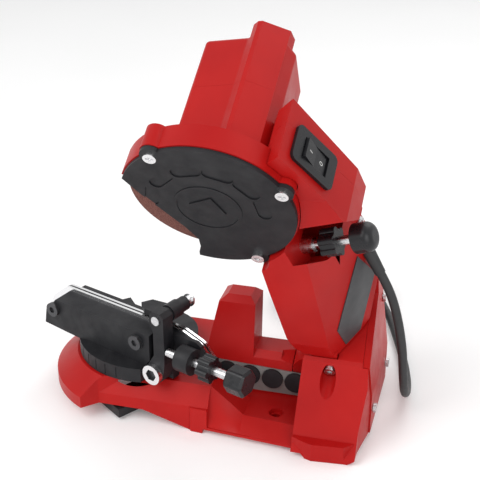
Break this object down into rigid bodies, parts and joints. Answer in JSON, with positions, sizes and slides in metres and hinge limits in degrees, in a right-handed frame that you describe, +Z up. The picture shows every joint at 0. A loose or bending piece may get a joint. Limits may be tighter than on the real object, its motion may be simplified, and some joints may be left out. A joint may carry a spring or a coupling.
{
  "type": "electric chainsaw sharpener",
  "caption": "Bench chain sharpener: turning chain vise on a bolted base, and a tilted grinding head that swings down on a sprung arm.",
  "frame": {"origin": "on the bench, midway between the two bench bolt holes", "axes": "+Z up, +X to the operator side of the wheel cover, +Y to the rear, away from the vise"},
  "size_m": [0.3444, 0.2761, 0.2852],
  "materials": {
    "abrasive": "bonded grit",
    "aluminium": "turned",
    "black_plastic": "moulded, lightly textured",
    "brass": "sintered bush",
    "bright_steel": "bright plated",
    "dark_steel": "blackened",
    "gloss_black": "smooth rocker plastic",
    "grey_label": "printed grey film",
    "red_shell": "satin moulded plastic, fine grain",
    "rubber": "soft rubber",
    "steel": "zinc plated"
  },
  "bodies": {
    "base": {"base_housing": "red_shell", "base_rear_cover": "red_shell", "rear_cover_screws": "steel", "indicator_strip": "grey_label", "indicator_discs": "black_plastic", "foot_pads": "rubber", "pivot_pin": "steel", "anchor_screw": "steel", "return_spring": "steel", "mains_cord": "rubber", "cord_coil": "rubber", "cord_tie": "black_plastic", "cord_plug": "black_plastic"},
    "lock_lever": {"angle_lock_lever": "black_plastic", "lock_screw": "steel"},
    "vise": {"turntable": "black_plastic", "vise_axle": "steel", "axle_washer": "steel", "vise_body": "black_plastic", "far_jaw": "black_plastic", "near_rail": "bright_steel", "far_rail": "bright_steel", "jaw_screws": "steel", "lever_bolt": "dark_steel"},
    "stop_lever": {"stop_lever": "black_plastic", "stop_pin": "steel", "stop_circlip": "steel"},
    "pawl": {"chain_stop_pawl": "black_plastic"},
    "adjusting_screw": {"adjusting_screw": "steel"},
    "adjusting_knob": {"adjusting_knob": "black_plastic"},
    "adjusting_nut": {"adjusting_nut": "black_plastic"},
    "head": {"upright_housing": "red_shell", "upright_cover": "red_shell", "shell_screws": "steel", "rating_plate": "grey_label", "pivot_bushes": "brass", "wheel_guard": "red_shell", "wheel_cover": "black_plastic", "cover_screws": "bright_steel", "motor_housing": "red_shell", "motor_cap": "red_shell", "motor_cap_screws": "steel", "motor_stator": "dark_steel", "motor_bearings": "steel", "switch_bezel": "black_plastic", "switch_body": "black_plastic", "depth_seat": "steel", "cord_gland": "rubber"},
    "wheel": {"motor_shaft": "steel", "rotor_core": "dark_steel", "wheel_flanges": "aluminium", "wheel_nut": "steel", "grinding_wheel": "abrasive"},
    "rocker": {"switch_rocker": "gloss_black"},
    "depth_screw": {"depth_screw": "steel"},
    "depth_knob": {"depth_knob": "black_plastic"},
    "depth_lock_nut": {"depth_lock_nut": "black_plastic"}
  },
  "joints": [
    {"name": "head_swing", "type": "hinge", "parent": "base", "child": "head", "pos_m": [-0.01499, 0.0315, 0.05253], "axis": [0.866, 0, -0.5], "range_deg": [0, 35], "stiffness_Nm_per_rad": 3, "springref_deg": -34.38},
    {"name": "wheel_spin", "type": "hinge", "parent": "head", "child": "wheel", "pos_m": [0.06811, -0.0363, 0.19347], "axis": [0.866, 0, -0.5], "continuous": true},
    {"name": "rocker_flip", "type": "hinge", "parent": "head", "child": "rocker", "pos_m": [0.06915, 0.0273, 0.22427], "axis": [0.866, 0, -0.5], "range_deg": [0, 18]},
    {"name": "depth_slide", "type": "slide", "parent": "head", "child": "depth_screw", "axis": [-0.2034, -0.9135, -0.3522], "range_m": [0, 0.0065]},
    {"name": "depth_knob_turn", "type": "hinge", "parent": "depth_screw", "child": "depth_knob", "pos_m": [0.04782, 0.05787, 0.16532], "axis": [-0.2034, -0.9135, -0.3522], "range_deg": [0, 2341]},
    {"name": "depth_nut_turn", "type": "hinge", "parent": "depth_screw", "child": "depth_lock_nut", "pos_m": [0.04304, 0.0364, 0.15705], "axis": [0.2034, 0.9135, 0.3522], "range_deg": [-180, 180]},
    {"name": "vise_turn", "type": "hinge", "parent": "base", "child": "vise", "pos_m": [0, -0.1045, 0.04], "axis": [0, 0, 1], "range_deg": [-100, 0]},
    {"name": "lock_lever_turn", "type": "hinge", "parent": "base", "child": "lock_lever", "pos_m": [0, -0.1045, 0.0055], "axis": [0, 0, 1], "range_deg": [-40, 10]},
    {"name": "stop_lever_tilt", "type": "hinge", "parent": "vise", "child": "stop_lever", "pos_m": [0.04902, -0.08422, 0.0425], "axis": [0.9336, -0.3584, 0], "range_deg": [-3.78, 3.78]},
    {"name": "pawl_flip", "type": "hinge", "parent": "stop_lever", "child": "pawl", "pos_m": [0.03656, -0.07622, 0.086], "axis": [-0.9336, 0.3584, 0], "range_deg": [0, 5]},
    {"name": "adjust_slide", "type": "slide", "parent": "vise", "child": "adjusting_screw", "axis": [0.3584, 0.9336, 0], "range_m": [-0.00125, 0.00125]},
    {"name": "adjust_knob_turn", "type": "hinge", "parent": "adjusting_screw", "child": "adjusting_knob", "pos_m": [0.07465, -0.01747, 0.0615], "axis": [0.3584, 0.9336, 0], "range_deg": [-361, 361]},
    {"name": "adjust_nut_turn", "type": "hinge", "parent": "adjusting_screw", "child": "adjusting_nut", "pos_m": [0.06533, -0.04174, 0.0615], "axis": [0.3584, 0.9336, 0], "range_deg": [-180, 180]}
  ],
  "couplings": [
    {"joint": "adjust_knob_turn", "follows": "adjust_slide", "rad_per_m": 5026.5},
    {"joint": "stop_lever_tilt", "follows": "adjust_slide", "rad_per_m": -52.632},
    {"joint": "depth_knob_turn", "follows": "depth_slide", "rad_per_m": 6283.2}
  ]
}
